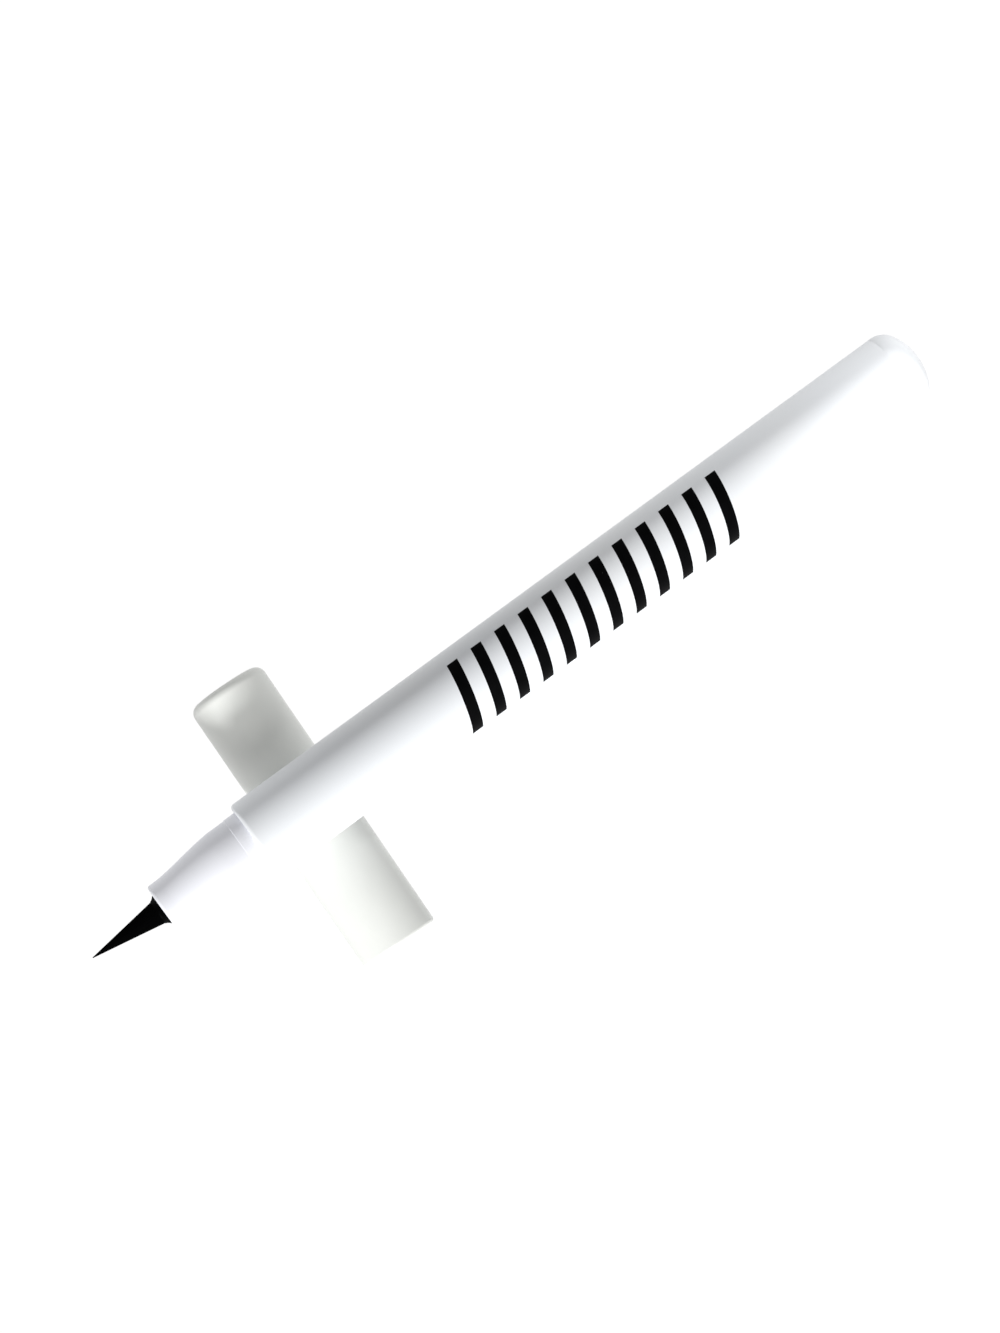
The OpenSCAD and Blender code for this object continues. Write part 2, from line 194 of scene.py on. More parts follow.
def size(name, value, note):
    return FloatProperty(name=name, description=note, default=value, unit="LENGTH", precision=6)


def colour(name, value, note):
    return FloatVectorProperty(name=name, description=note, default=value, size=3,
                               subtype="COLOR", min=0, max=1)


def share(name, value, note):
    return FloatProperty(name=name, description=note, default=value, min=0, max=1,
                         subtype="FACTOR")


def turn(name, value, note):
    return FloatProperty(name=name, description=note, default=math.radians(value),
                         unit="ROTATION")


def power(name, value, note):
    return FloatProperty(name=name, description=note, default=value, precision=4, unit="POWER")


class PenSizes(bpy.types.PropertyGroup):
    """Sizes of the barrel, its domed end, the neck and the nib"""
    wall: size("Barrel wall", 0.75 * MM, "Thickness of the barrel, which holds the ink itself")
    rim_round: size("Rim rounding", 0.5 * MM, "Rounding of the barrel's front rim")
    seam: size("Seam", 0.01 * MM, "Chamfer on each side of the seam at the domed end")
    dome_round: size("Dome rounding", 2.6 * MM, "Rounding round the edge of the domed end")
    crown: size("Crown radius", 7.8 * MM, "Radius of the crown of the domed end")
    gate: size("Gate mark", 0.55 * MM, "Radius of the mark that the mould's gate leaves")
    gate_floor: share("Gate floor", 0.8, "Floor of the gate's mark, as a share of its radius")
    gate_depth: size("Gate depth", 0.06 * MM, "Depth of the gate's mark")
    plug_wall: size("Plug wall", 1 * MM, "Wall of the hollow tail plug")
    press: size("Press gap", 0.02 * MM, "Radial gap of a pressed fit")
    land: size("Land", 1.6 * MM, "Length of the land at the neck's root, which the cap grips")
    land_step: size("Land step", 0.07 * MM, "Step down in radius in front of the land")
    land_edge: size("Land edge", 0.02 * MM, "Rounding of the land's front edge")
    nose: size("Nose length", 1.5 * MM, "Length of the straight nose in front of the taper")
    nose_r: size("Nose radius", 3.28 * MM, "Radius of the nose")
    nose_round: size("Nose rounding", 0.4 * MM, "Rounding of the nose's edge")
    nose_bore: size("Nose bore", 0.05 * MM, "Rounding of the nose's edge round the sleeve")
    spigot_wall: size("Spigot wall", 0.85 * MM, "Wall of the neck's spigot in the barrel")
    sleeve_r: size("Sleeve radius", 2.05 * MM, "Radius of the nib's sleeve")
    sleeve_in: size("Sleeve depth", 7.4 * MM, "Depth of the sleeve in the neck")
    flange: size("Flange", 1.2 * MM, "Thickness of the sleeve's flange")
    foot: size("Foot", 0.07 * MM, "Straight foot of the sleeve's flare, in front of the neck")
    lip: size("Lip", 0.07 * MM, "Thickness of the sleeve's lip round the nib")
    vent: size("Vent width", 0.4 * MM, "Width of one of the sleeve's air flutes")
    vent_depth: size("Vent depth", 0.18 * MM, "Depth of one of the sleeve's air flutes")
    nib_r: size("Nib radius", 1.54 * MM, "Radius of the nib where it leaves its sleeve")
    nib_shank: size("Shank step", 0.16 * MM, "Step in radius from the nib to its shank")
    point: size("Point radius", 0.06 * MM, "Radius of the nib's point")
    lean: turn("Nib lean", 1.5, "Angle by which the soft nib leans")
    fibre: share("Fibre depth", 0.022, "Depth of the grooves between bundles of fibres, "
                 "as a share of the nib's radius")


class CapSizes(bpy.types.PropertyGroup):
    """Sizes of the cap and of the spring inside it"""
    end_round: size("End rounding", 1.3 * MM, "Rounding of the closed end")
    rim_round: size("Mouth rounding", 0.5 * MM, "Rounding of the mouth's outer edge")
    end_wall: size("End wall", 1.2 * MM, "Thickness of the closed end")
    lead: size("Lead-in", 0.1 * MM, "Lead-in chamfer of the mouth's bore")
    step: size("Bore step", 0.2 * MM, "Step in radius at the back of the mouth's bore")
    boss: size("Boss height", 1 * MM, "Height of the boss that centres the spring")
    boss_r: size("Boss radius", 2.25 * MM, "Radius of the boss that centres the spring")
    boss_round: size("Boss rounding", 0.2 * MM, "Rounding of that boss")
    gate: size("Gate mark", 0.7 * MM, "Radius of the mark that the mould's gate leaves")
    gate_floor: share("Gate floor", 0.85, "Floor of the gate's mark, as a share of its radius")
    gate_depth: size("Gate depth", 0.08 * MM, "Depth of the gate's mark")
    wire: size("Spring wire", 0.35 * MM, "Diameter of the wire of the inner cap's spring")
    turns: IntProperty(name="Spring turns", description="Turns of the inner cap's spring",
                       default=9, min=3)
    crowding: share("End crowding", 0.33, "How much closer the turns lie at the spring's ends")


class PrintSizes(bpy.types.PropertyGroup):
    """Sizes of the plain print on the barrel: a row of equal slanted bars"""
    bars: IntProperty(name="Bars", description="Number of bars in the row", default=12, min=1)
    start: size("Start", -30.8 * MM, "Height of the first bar's middle, behind the rim")
    pitch: size("Pitch", 3.55 * MM, "Distance from one bar to the next")
    width: size("Width", 1.5 * MM, "Width of one bar")
    film: size("Film", 0.012 * MM, "Thickness of the printed film")
    slant: turn("Slant", 13, "Angle of the bars away from square")
    side_from: turn("Upper side", -38, "Where the bars start, round from the barrel's top")
    side_to: turn("Lower side", 76, "Where the bars end, round from the barrel's top")


class Finishes(bpy.types.PropertyGroup):
    """Colours and gloss of the materials"""
    barrel: colour("Barrel", (0.845, 0.862, 0.880), "Cool white of the barrel")
    neck: colour("Neck", (0.835, 0.842, 0.885), "Slightly bluer white of the neck")
    cap: colour("Cap", (0.790, 0.803, 0.770), "Warm white of the cap")
    ink: colour("Print", (0.0007, 0.0007, 0.0009), "Black of the printed bars")
    nib: colour("Nib", (0.0004, 0.0004, 0.0005), "Black of the nib's inked fibres")
    sleeve: colour("Sleeve", (0.0005, 0.0005, 0.0006), "Black of the nib's sleeve")
    natural: colour("Natural plastic", (0.78, 0.79, 0.77), "Unpainted inner mouldings")
    seal: colour("Seals", (0.035, 0.035, 0.038), "Soft seals")
    wick: colour("Wick", (0.52, 0.52, 0.50), "Feed wick, where it is dry")
    steel: colour("Steel", (0.58, 0.58, 0.59), "Ball and spring")
    dust: colour("Dust", (0.30, 0.29, 0.27), "Specks in the white mouldings")
    pinhole: colour("Pinholes", (0.35, 0.35, 0.36), "Pinholes in the print")
    stain: colour("Stain", (0.05, 0.05, 0.06), "Ink stains on the inner mouldings")
    soaked: colour("Soaked wick", (0.02, 0.02, 0.025), "Feed wick, where it holds ink")
    dried: colour("Dried ink", (0.06, 0.06, 0.07), "Film of dried ink on steel")
    satin: share("Satin roughness", 0.46, "Roughness of the white mouldings")
    matt: share("Matt roughness", 0.85, "Roughness of the nib")
    spring: share("Spring roughness", 0.30, "Roughness of the spring's wire")
    ball: share("Ball roughness", 0.22, "Roughness of the mixing ball")
    barrel_cool: share("Barrel patches", 0.006, "How much cooler the barrel is in patches")
    neck_cool: share("Neck patches", 0.004, "How much cooler the neck is in patches")
    comb_stain: share("Collector's stains", 0.55, "How much ink has stained the collector")
    cap_stain: share("Inner cap's stains", 0.10, "How much ink has stained the inner cap")


class StageLight(bpy.types.PropertyGroup):
    """The floor, the lights and the camera"""
    floor: colour("Floor", (0.04, 0.04, 0.04), "What the floor gives back of the lights")
    floor_glow: colour("Floor glow", (0.985, 0.985, 0.985), "The floor's own soft light")
    far_glow: colour("Far glow", (0.58, 0.58, 0.58), "The floor's own light, far from the pen")
    floor_size: size("Floor size", 6, "Width of the floor")
    floor_corner: size("Floor corner", 1.2, "Rounding of the floor's corners")
    floor_drop: size("Floor drop", 0.02 * MM, "How far the floor lies under the pen")
    # The pool: where the floor's painted glow is even and brightest
    pool_x: size("Pool width", 79 * MM, "Half width of the floor's evenly lit middle")
    pool_y: size("Pool length", 105 * MM, "Half length of the floor's evenly lit middle")
    pool_turn: turn("Pool turn", 143.6, "Angle of the evenly lit middle, seen from above")
    pool_fade: FloatProperty(name="Pool fade", description="Where the floor's own light is down "
                             "to far glow, as a multiple of its middle", default=2.2, min=1)
    key_power: power("Key light", 18.0, "Power of the key light")
    key_size: size("Key size", 0.20, "Width of the key light's soft box")
    key_distance: size("Key distance", 1.3, "Distance of the key light")
    tail_power: power("Tail light", 0.040, "Power of the light at the tail")
    nib_power: power("Nib light", 0.012, "Power of the light at the nib")
    cap_power: power("Cap light", 0.136, "Power of the light over the cap")
    pen_cone: turn("Pen's cones", 75, "Cone of the lights at the tail and the nib")
    cap_cone: turn("Cap's cone", 7.5, "Cone of the light over the cap")
    aim: share("Aim", 0.8, "How far along the barrel and the neck their lights aim")
    cap_aim: size("Cap's aim", 0.5 * MM, "Where the cap's light aims, short of the closed end")
    sky: share("Ambient light", 0.36, "Strength of the even light from all round")
    lens: FloatProperty(name="Lens", description="Focal length on a 36 mm sensor, in "
                        "millimetres", default=98.96, min=10)


# Modelling by hand, in code

def begin():
    """Deselects everything, so that the next primitive is all that an operator acts on."""
    if bpy.context.mode != "OBJECT":
        bpy.ops.object.mode_set(mode="OBJECT")
    bpy.ops.object.select_all(action="DESELECT")


def pick(piece, test):
    """In edit mode, selects the vertices of a piece that pass a test, and what joins them."""
    mesh = bmesh.from_edit_mesh(piece.data)
    for group in (mesh.faces, mesh.edges, mesh.verts):
        for part in group:
            part.select = False
    for v in mesh.verts:
        v.select = test(v)
    mesh.select_flush(True)
    bmesh.update_edit_mesh(piece.data)


def ring(radius, height):
    """A test for the vertices of one ring."""
    def on_ring(v):
        return (abs(v.co.z - height) < NEAR
                and abs(math.hypot(v.co.x, v.co.y) - radius) < NEAR)
    return on_ring


def raise_ring(here, there):
    """Extrudes the selected ring from one (radius, height) to the next."""
    bpy.ops.mesh.extrude_region_move(TRANSFORM_OT_translate={"value": (0, 0, there[1] - here[1])})
    grow = there[0] / here[0]
    bpy.ops.transform.resize(value=(grow, grow, 1), center_override=(0, 0, there[1]))


def close_pole(here, height):
    """Draws the selected ring together into one point on the axis."""
    bpy.ops.mesh.extrude_region_move(TRANSFORM_OT_translate={"value": (0, 0, height - here[1])})
    bpy.ops.mesh.merge(type="CENTER")


def turned(name, outline, sides=SIDES):
    """Raises a piece ring by ring along an outline of (radius, height) points, in edit mode.

    A radius of 0 at an end closes it in a pole. An outline with no pole closes on itself.
    """
    begin()
    rings = [p for p in outline if p[0] > 0]
    bpy.ops.mesh.primitive_circle_add(vertices=sides, radius=rings[0][0])
    piece = bpy.context.object
    piece.name = piece.data.name = name
    bpy.ops.object.mode_set(mode="EDIT")
    bpy.ops.mesh.select_mode(type="VERT")
    bpy.ops.transform.translate(value=(0, 0, rings[0][1]))
    for here, there in zip(rings, rings[1:]):
        raise_ring(here, there)
    if outline[-1][0] == 0:
        close_pole(rings[-1], outline[-1][1])
    if outline[0][0] == 0:
        pick(piece, lambda v: v.index < sides)
        close_pole(rings[0], outline[0][1])
    if outline[0][0] > 0 and outline[-1][0] > 0:
        last = len(bmesh.from_edit_mesh(piece.data).verts) - sides
        pick(piece, lambda v: v.index < sides or v.index >= last)
        bpy.ops.mesh.bridge_edge_loops()
    return piece


def round_edge(piece, radius, height, offset, steps=CORNER_STEPS):
    """Bevels the ring at a radius and height into a round."""
    pick(piece, ring(radius, height))
    bpy.ops.mesh.bevel(offset=offset, segments=steps, profile=0.5, affect="EDGES")


def lay(piece, stand, body, slot, *nodes):
    """Welds and smooths a piece, lays it where the frame has it, and puts it on its body."""
    bpy.ops.mesh.select_all(action="SELECT")
    bpy.ops.mesh.remove_doubles(threshold=WELD)
    bpy.ops.mesh.normals_make_consistent(inside=False)
    bpy.ops.object.mode_set(mode="OBJECT")
    bpy.ops.object.shade_smooth_by_angle(angle=SMOOTH_ANGLE)
    piece.matrix_world = stand @ piece.matrix_world
    bpy.ops.object.transform_apply(location=True, rotation=True, scale=True)
    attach(piece, body)
    if nodes:
        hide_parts(*nodes)


def arc(centre, radius, start, stop, steps=DOME_STEPS):
    """Outline points of an arc round a (radius, height) centre, between two angles."""
    angles = [start + (stop - start) * i / steps for i in range(steps + 1)]
    return [(centre[0] + radius * math.cos(a), centre[1] + radius * math.sin(a)) for a in angles]


def eased(t):
    """From 0 to 1, starting and ending gently, half as strongly as a full S."""
    return (t + t * t * (3 - 2 * t)) / 2


# Shader maths

class Term:
    """One output of a node. Arithmetic on it adds Math nodes."""

    def __init__(self, paint, socket):
        self.paint, self.socket = paint, socket

    def maths(self, operation, other):
        return self.paint.node("Math", {"operation": operation}, {0: self, 1: other})

    def __add__(self, other):
        return self.maths("ADD", other)

    def __sub__(self, other):
        return self.maths("SUBTRACT", other)

    def __rsub__(self, other):
        return self.paint.node("Math", {"operation": "SUBTRACT"}, {0: other, 1: self})

    def __mul__(self, other):
        return self.maths("MULTIPLY", other)

    def over(self, low, high):
        """0 below low, 1 above high, and smooth in between."""
        inputs = {"Value": self, "From Min": low, "From Max": high}
        return self.paint.node("MapRange", {"interpolation_type": "SMOOTHSTEP"}, inputs)


class Paint:
    """One material, and the few kinds of pattern that the finishes are made of."""

    def __init__(self, name, stand=None):
        self.material = bpy.data.materials.new(name)
        self.material.use_nodes = True
        self.tree = self.material.node_tree
        self.tree.nodes.clear()
        self.place = self.node("TexCoord", output="Object")
        if stand is not None:
            self.place = self.node("Mapping", {"vector_type": "TEXTURE"}, {
                "Vector": self.place, "Location": stand.to_translation(),
                "Rotation": stand.to_euler()})

    def node(self, kind, settings=None, inputs=None, output=0):
        """Adds a node: its settings first, then the values or links of its sockets."""
        made = self.tree.nodes.new("ShaderNode" + kind)
        for name, value in (settings or {}).items():
            setattr(made, name, value)
        for key, value in (inputs or {}).items():
            if isinstance(value, Term):
                self.tree.links.new(value.socket, made.inputs[key])
            else:
                made.inputs[key].default_value = value
        return Term(self, made.outputs[output]) if made.outputs else None

    def stretched(self, across, along):
        """The place, scaled so that a pattern is longer one way: across is X and Y."""
        factor = (across, across, along)
        return self.node("VectorMath", {"operation": "MULTIPLY"}, {0: self.place, 1: factor})

    def noise(self, period, detail=2, rough=0.5, place=None):
        """Soft noise with spots about one period wide, in metres."""
        inputs = {"Vector": place or self.place, "Scale": 1 / period, "Detail": detail,
                  "Roughness": rough}
        return self.node("TexNoise", {"noise_dimensions": "3D"}, inputs)

    def streaks(self, width, length, detail=1):
        """Noise drawn out along the piece's axis."""
        return self.noise(1, detail, place=self.stretched(1 / width, 1 / length))

    def specks(self, cell, radius):
        """Small round spots with soft edges, one in each cell about this wide."""
        distance = self.node("TexVoronoi", {"feature": "F1"}, {
            "Vector": self.place, "Scale": 1 / cell, "Randomness": 1}, output="Distance")
        return 1 - distance.over(radius / cell * 0.6, radius / cell)

    def height(self):
        """Height along the piece's own axis, in metres."""
        return self.node("SeparateXYZ", {}, {0: self.place}, output="Z")

    def tint(self, amount, base, other):
        """A colour between two, by an amount from 0 to 1."""
        inputs = {MIX_AMOUNT: amount, MIX_BASE: opaque(base), MIX_OTHER: opaque(other)}
        return self.node("Mix", {"data_type": "RGBA"}, inputs, output=MIX_RESULT)

    def bump(self, height, depth, strength):
        """A normal from a height field of 0 to 1 that is this deep, in metres."""
        return self.node("Bump", {}, {"Height": height, "Distance": depth, "Strength": strength})

    def finish(self, base, rough, normal=None, **fixed):
        """Ends the material in one Principled shader. What is the same all over is set on it."""
        inputs = {"Base Color": opaque(base), "Roughness": rough}
        if normal is not None:
            inputs["Normal"] = normal
        inputs.update((name.replace("_", " "), value) for name, value in fixed.items())
        shader = self.node("BsdfPrincipled", {}, inputs)
        self.node("OutputMaterial", {}, {"Surface": shader})
        return self.material


def opaque(base):
    """A colour as a socket takes it, unless it is linked."""
    return base if isinstance(base, Term) else (*base, 1)


def shade(base, factor):
    """A colour made lighter or darker."""
    return tuple(min(1, c * factor) for c in base)


# Finishes. Widths and depths in MM are real ones. The limits and strengths are shares of 1.

def satin_moulding(name, f, base, stand, worn, cool=0.0):
    """White moulded plastic with a fine spark-eroded grain, soft clouds in its whiteness,
    faint lengthwise handling marks, a few specks, and a polish where edges are rubbed."""
    p = Paint(name, stand)
    clouds = p.noise(7 * MM, 3, 0.55)
    patches = p.noise(22 * MM, 1)
    grain = p.noise(0.11 * MM, 3, 0.6)
    swirl = p.noise(0.9 * MM)
    lines = p.streaks(0.07 * MM, 9 * MM, 2).over(0.66, 0.78) * p.noise(6 * MM, 1).over(0.5, 0.62)
    dust = p.specks(2.6 * MM, 0.045 * MM) * p.noise(3.1 * MM, 0).over(0.52, 0.56)
    milky = p.tint(clouds.over(0.3, 0.7), shade(base, 0.985), shade(base, 1.012))
    cooler = (base[0] * (0.985 - cool), base[1] * (0.99 - cool / 2), base[2])
    tinted = p.tint(patches.over(0.35, 0.65) * 0.7, milky, cooler)
    marked = p.tint(lines * 0.10, tinted, shade(base, 0.80))
    dusty = p.tint(dust * 0.35, marked, f.dust)
    fade = 0.4 * MM
    rubbed, *others = [
        p.height().over(low - fade, low) * (1 - p.height().over(high, high + fade))
        for low, high in worn]
    for band in others:
        rubbed = rubbed.maths("MAXIMUM", band)
    satin = (swirl - 0.5) * 0.10 + f.satin + (patches - 0.5) * 0.08 + lines * 0.12
    satin = satin - rubbed * p.noise(0.5 * MM).over(0.35, 0.65) * 0.12
    relief = grain * 0.8 + swirl * 0.5 - lines * 0.6
    return p.finish(dusty, satin.maths("MAXIMUM", 0.2), p.bump(relief, 0.006 * MM, 0.5),
                    IOR=1.49, Specular_IOR_Level=0.3)


def printed_ink(name, f, stand):
    """Screen-printed black with pinholes and a faint mesh grain."""
    p = Paint(name, stand)
    film = p.noise(1.4 * MM, 3, 0.6)
    mesh = p.noise(0.09 * MM, 1)
    holes = p.specks(1.1 * MM, 0.03 * MM) * p.noise(2 * MM, 0).over(0.55, 0.6)
    black = p.tint(film.over(0.3, 0.75), f.ink, shade(f.ink, 2.1))
    worn = p.tint(holes * 0.5, black, f.pinhole)
    return p.finish(worn, (film - 0.5) * 0.16 + 0.52 + mesh * 0.05,
                    p.bump(mesh + film, 0.004 * MM, 0.6), IOR=1.5, Specular_IOR_Level=0.035)


def inked_fibre(name, f, stand):
    """A bundle of fine fibres, soaked with ink: lengthwise streaks, drier towards the point."""
    p = Paint(name, stand)
    hair = p.streaks(0.035 * MM, 1.6 * MM, 3)
    strands = p.streaks(0.12 * MM, 5 * MM)
    dry = p.height().over(POINT_Z - 4 * MM, POINT_Z) * hair.over(0.45, 0.7)
    streaked = p.tint(hair.over(0.35, 0.7), f.nib, shade(f.nib, 2.6))
    dried = p.tint(dry * 0.6, streaked, shade(f.nib, 5.0))
    return p.finish(dried, (strands - 0.5) * 0.2 + f.matt + dry * 0.08,
                    p.bump(hair * 0.7 + strands, 0.018 * MM, 0.8), IOR=1.4,
                    Specular_IOR_Level=0.018)


def black_moulding(name, f, stand):
    """Black moulded plastic, a little dulled by ink that dried on it."""
    p = Paint(name, stand)
    grain = p.noise(0.08 * MM)
    dried = p.noise(0.7 * MM, 3, 0.6).over(0.5, 0.7)
    tinted = p.tint(dried, f.sleeve, shade(f.sleeve, 1.9))
    return p.finish(tinted, dried * 0.22 + 0.5 + (grain - 0.5) * 0.1,
                    p.bump(grain + dried * 0.6, 0.006 * MM, 0.6), IOR=1.5,
                    Specular_IOR_Level=0.018)


def natural_moulding(name, f, stand, stains):
    """Unpigmented inner moulding, smooth and milky, with ink stains where ink passes."""
    p = Paint(name, stand)
    flow = p.noise(2.4 * MM, 3, 0.55, p.stretched(1, 0.4))
    grain = p.noise(0.14 * MM)
    milky = p.tint(flow.over(0.3, 0.7), shade(f.natural, 0.95), shade(f.natural, 1.03))
    stained = p.tint(p.noise(0.9 * MM, 3, 0.6).over(0.5, 0.62) * stains, milky, f.stain)
    return p.finish(stained, (flow - 0.5) * 0.12 + 0.30 + grain * 0.06,
                    p.bump(grain * 0.5 + flow, 0.005 * MM, 0.5), IOR=1.5)


def soft_seal(name, f, stand):
    """Matt moulded rubber with a powdery bloom."""
    p = Paint(name, stand)
    bloom = p.noise(0.45 * MM, 3, 0.6)
    grain = p.noise(0.05 * MM)
    powdery = p.tint(bloom.over(0.4, 0.75), f.seal, shade(f.seal, 2.4))
    return p.finish(powdery, (bloom - 0.5) * 0.2 + 0.72, p.bump(grain + bloom, 0.006 * MM, 0.6),
                    IOR=1.45)


def wick_fibre(name, f, stand):
    """Bonded fibre rod, with ink drawn up between its strands."""
    p = Paint(name, stand)
    strands = p.streaks(0.05 * MM, 2.5 * MM, 2)
    soaked = p.streaks(0.2 * MM, 9 * MM, 2).over(0.42, 0.6)
    fibres = p.tint(strands.over(0.3, 0.7), shade(f.wick, 0.8), shade(f.wick, 1.15))
    inked = p.tint(soaked * 0.85, fibres, f.soaked)
    return p.finish(inked, (strands - 0.5) * 0.15 + 0.82, p.bump(strands, 0.02 * MM, 0.8))


def drawn_steel(name, f, stand, rough):
    """Bright steel with fine lines, and a thin film of dried ink in places."""
    p = Paint(name, stand)
    lines = p.noise(0.6 * MM, 3, 0.6, p.stretched(1, 6))
    film = p.noise(0.8 * MM, 3, 0.6).over(0.56, 0.7)
    metal = p.tint(lines.over(0.3, 0.7), shade(f.steel, 0.92), shade(f.steel, 1.06))
    filmed = p.tint(film * 0.4, metal, f.dried)
    return p.finish(filmed, (lines - 0.5) * 0.12 + rough + film * 0.2,
                    p.bump(lines, 0.003 * MM, 0.5), Metallic=1.0)


def glowing_floor(name, s):
    """A pale table top with a slight mottling, which glows with its own painted light. The glow is
    even in a rounded oblong round the pen and fades to a dimmer glow further out: a painted pool of
    light.
    """
    p = Paint(name)
    framed = p.node("Mapping", {"vector_type": "TEXTURE"}, {
        "Vector": p.place, "Rotation": (0, 0, s.pool_turn), "Scale": (s.pool_x, s.pool_y, 1)})
    x, y = (p.node("SeparateXYZ", {}, {0: framed}, output=axis) for axis in "XY")
    away = (x * x * x * x + y * y * y * y).maths("POWER", 0.25)
    mottle = p.noise(50 * MM, 3, 0.55)
    top = p.tint(mottle.over(0.3, 0.7), shade(s.floor, 0.98), shade(s.floor, 1.02))
    near = p.tint(mottle.over(0.3, 0.7), shade(s.floor_glow, 0.996), shade(s.floor_glow, 1.004))
    # Painted pool of light: the floor's own glow, brightest round the pen and dimmer far from it
    lit = p.tint(away.over(1, s.pool_fade), near, s.far_glow)
    return p.finish(top, (mottle - 0.5) * 0.05 + 0.6, Emission_Color=lit, Emission_Strength=1.0,
                    Specular_IOR_Level=0.2)


def dress(piece, material):
    """Gives a new piece or a CAD node its material."""
    piece.data.materials.clear()
    piece.data.materials.append(material)


# Pieces

class EYELINER_OT_barrel(bpy.types.Operator):
    """Model the long tube of the pen, with its rounded front rim"""
    bl_idname = "eyeliner.barrel"
    bl_label = "Barrel"

    def execute(self, context):
        s = context.scene.eyeliner_pen
        f = context.scene.eyeliner_finishes
        bore = BARREL_R - s.wall
        piece = turned("barrel_tube", [(BARREL_R, SEAM_Z), (BARREL_R, RIM_Z), (bore, RIM_Z),
                                       (bore, SEAM_Z)])
        round_edge(piece, BARREL_R, RIM_Z, s.rim_round)
        round_edge(piece, BARREL_R, SEAM_Z, s.seam, EDGE_STEPS)
        lay(piece, PEN, "pen", "barrel_white", "barrel")
        dress(piece, satin_moulding("barrel_white", f, f.barrel, PEN, [(-1.2 * MM, 0)],
                                    f.barrel_cool))
        return {"FINISHED"}


class EYELINER_OT_tail(bpy.types.Operator):
    """Model the pressed plug with the domed end, hollow and open towards the tank"""
    bl_idname = "eyeliner.tail"
    bl_label = "Domed end"

    def execute(self, context):
        s = context.scene.eyeliner_pen
        f = context.scene.eyeliner_finishes
        spigot = BARREL_R - s.wall - s.press
        hollow = spigot - s.plug_wall
        side = BARREL_R - s.dome_round
        crown_z = TAIL_Z + s.crown
        reach = math.sqrt((s.crown - s.dome_round) ** 2 - side ** 2)
        swing = math.atan2(side, reach)
        gate_swing = math.asin(s.gate / s.crown)
        inner = s.crown - s.plug_wall
        inner_swing = math.asin(hollow / inner)
        down = -math.pi / 2
        gate_z = TAIL_Z + s.gate_depth
        outline = [(0, gate_z), (s.gate * s.gate_floor, gate_z)]
        outline += arc((0, crown_z), s.crown, down + gate_swing, down + swing)
        outline += arc((side, crown_z - reach), s.dome_round, down + swing, 0)[1:]
        outline += [(BARREL_R, SEAM_Z), (spigot, SEAM_Z), (spigot, PLUG_Z), (hollow, PLUG_Z)]
        outline += arc((0, crown_z), inner, down + inner_swing, down)[:-1]
        outline += [(0, crown_z - inner)]
        piece = turned("domed_end", outline)
        round_edge(piece, BARREL_R, SEAM_Z, s.seam, EDGE_STEPS)
        lay(piece, PEN, "pen", "barrel_white", "tail_plug")
        dress(piece, satin_moulding("tail_white", f, f.barrel, PEN,
                                    [(TAIL_Z, TAIL_Z + 1.5 * MM)], f.barrel_cool))
        return {"FINISHED"}


class EYELINER_OT_print(bpy.types.Operator):
    """Print a plain row of equal slanted bars on the barrel"""
    bl_idname = "eyeliner.print"
    bl_label = "Printed bars"

    def execute(self, context):
        s = context.scene.eyeliner_print
        f = context.scene.eyeliner_finishes
        middle = (s.side_from + s.side_to) / 2
        out = Vector((-math.cos(middle), math.sin(middle), 0))
        round_way = Vector((math.sin(middle), math.cos(middle), 0))
        across = round_way * math.sin(s.slant) - UP * math.cos(s.slant)
        centre = Vector((0, 0, s.start))
        begin()
        bpy.ops.mesh.primitive_cylinder_add(
            vertices=BAR_SIDES, radius=BARREL_R, depth=BARREL_R * BAR_STOCK,
            end_fill_type="NOTHING", location=centre)
        bar = bpy.context.object
        bpy.ops.object.mode_set(mode="EDIT")
        cuts = [(centre + across * way * s.width / 2, across * way) for way in (1, -1)]
        cuts += [(centre, Vector((math.sin(angle), math.cos(angle), 0)) * way)
                 for angle, way in ((s.side_from, -1), (s.side_to, 1))]
        for place, way in cuts:
            bpy.ops.mesh.select_all(action="SELECT")
            bpy.ops.mesh.bisect(plane_co=place, plane_no=way, clear_outer=True)
        pick(bar, lambda v: v.co.to_3d().dot(out) < 0)
        bpy.ops.mesh.delete(type="VERT")
        bpy.ops.object.mode_set(mode="OBJECT")
        film = bar.modifiers.new("film", "SOLIDIFY")
        film.thickness = s.film
        film.offset = 1
        bpy.ops.object.modifier_apply(modifier=film.name)
        for _ in range(s.bars - 1):
            bpy.ops.object.duplicate(linked=False)
            bpy.ops.transform.translate(value=(0, 0, -s.pitch))
        begin()
        for o in context.scene.objects:
            if o.name.split(".")[0] == bar.name:
                o.select_set(True)
        context.view_layer.objects.active = bar
        bpy.ops.object.join()
        bar.name = bar.data.name = "printed_bars"
        bpy.ops.object.transform_apply(location=True, rotation=True, scale=True)
        bpy.ops.object.mode_set(mode="EDIT")
        lay(bar, PEN, "pen", "sleeve_black")
        dress(bar, printed_ink("print_black", f, PEN))
        return {"FINISHED"}


